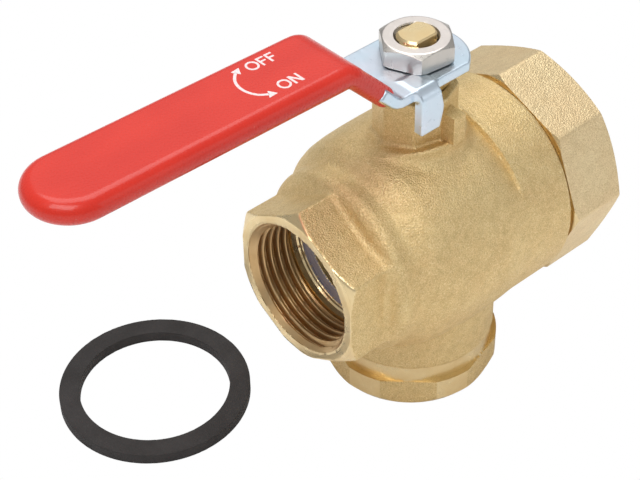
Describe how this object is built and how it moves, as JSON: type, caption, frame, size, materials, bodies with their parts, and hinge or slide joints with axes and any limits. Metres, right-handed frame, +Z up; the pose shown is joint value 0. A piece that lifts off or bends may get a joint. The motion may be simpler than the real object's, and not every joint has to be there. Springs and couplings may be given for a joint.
{
  "type": "three way valve",
  "caption": "Forged brass three way ball valve with two female threaded ports, a swivel union nut with loose flat gasket, and a bent lever with a red sleeve.",
  "frame": {"origin": "centre of the stem's flat top face, on the stem axis", "axes": "+Z up the stem axis, +X along the flow axis out of the union nut; at rest the lever points along -X over the side port"},
  "size_m": [0.1491, 0.084, 0.107],
  "materials": {
    "valve_body": "sandblasted forging",
    "end_connector": "machined",
    "union_nut": "satin",
    "ball": "polished",
    "stem": "machined",
    "gland_nut": "nickel plated",
    "gland_washer": "machined",
    "lever_nut": "nickel plated",
    "lever_plate": "zinc plated",
    "lever_grip": "glossy dipped sleeve",
    "nut_retaining_ring": "spring steel",
    "union_gasket": "matt",
    "connector_seal": "matt",
    "seat_backing_left": "matt",
    "seat_backing_right": "matt",
    "stem_oring_lower": "matt",
    "stem_oring_upper": "matt",
    "seat_left": "PTFE",
    "seat_right": "PTFE",
    "packing_lower": "PTFE",
    "packing_upper": "PTFE",
    "stem_thrust_washer": "PTFE"
  },
  "bodies": {
    "body_assembly": {"valve_body": "valve_body", "end_connector": "end_connector", "gland_nut": "gland_nut", "gland_washer": "gland_washer", "nut_retaining_ring": "nut_retaining_ring", "connector_seal": "connector_seal", "seat_backing_left": "seat_backing_left", "seat_backing_right": "seat_backing_right", "seat_left": "seat_left", "seat_right": "seat_right", "packing_lower": "packing_lower", "packing_upper": "packing_upper"},
    "lever_assembly": {"lever_plate": "lever_plate", "lever_grip": "lever_grip", "lever_nut": "lever_nut", "stem": "stem", "stem_thrust_washer": "stem_thrust_washer", "stem_oring_lower": "stem_oring_lower", "stem_oring_upper": "stem_oring_upper"},
    "ball_body": {"ball": "ball"},
    "union_nut_body": {"union_nut": "union_nut"},
    "gasket_body": {"union_gasket": "union_gasket"}
  },
  "joints": [
    {"name": "lever_turn", "type": "hinge", "parent": "body_assembly", "child": "lever_assembly", "pos_m": [0, 0, -0.006], "axis": [0, 0, 1], "range_deg": [-90, 0]},
    {"name": "ball_turn", "type": "hinge", "parent": "body_assembly", "child": "ball_body", "pos_m": [0, 0, -0.054], "axis": [0, 0, 1], "range_deg": [-90, 0]},
    {"name": "union_nut_spin", "type": "hinge", "parent": "body_assembly", "child": "union_nut_body", "pos_m": [0.0367, 0, -0.054], "axis": [1, 0, 0], "continuous": true},
    {"name": "gasket_lift", "type": "slide", "parent": "body_assembly", "child": "gasket_body", "axis": [0, 0, 1], "range_m": [0, 0.05]}
  ],
  "couplings": [
    {"joint": "ball_turn", "follows": "lever_turn", "ratio": 1}
  ]
}
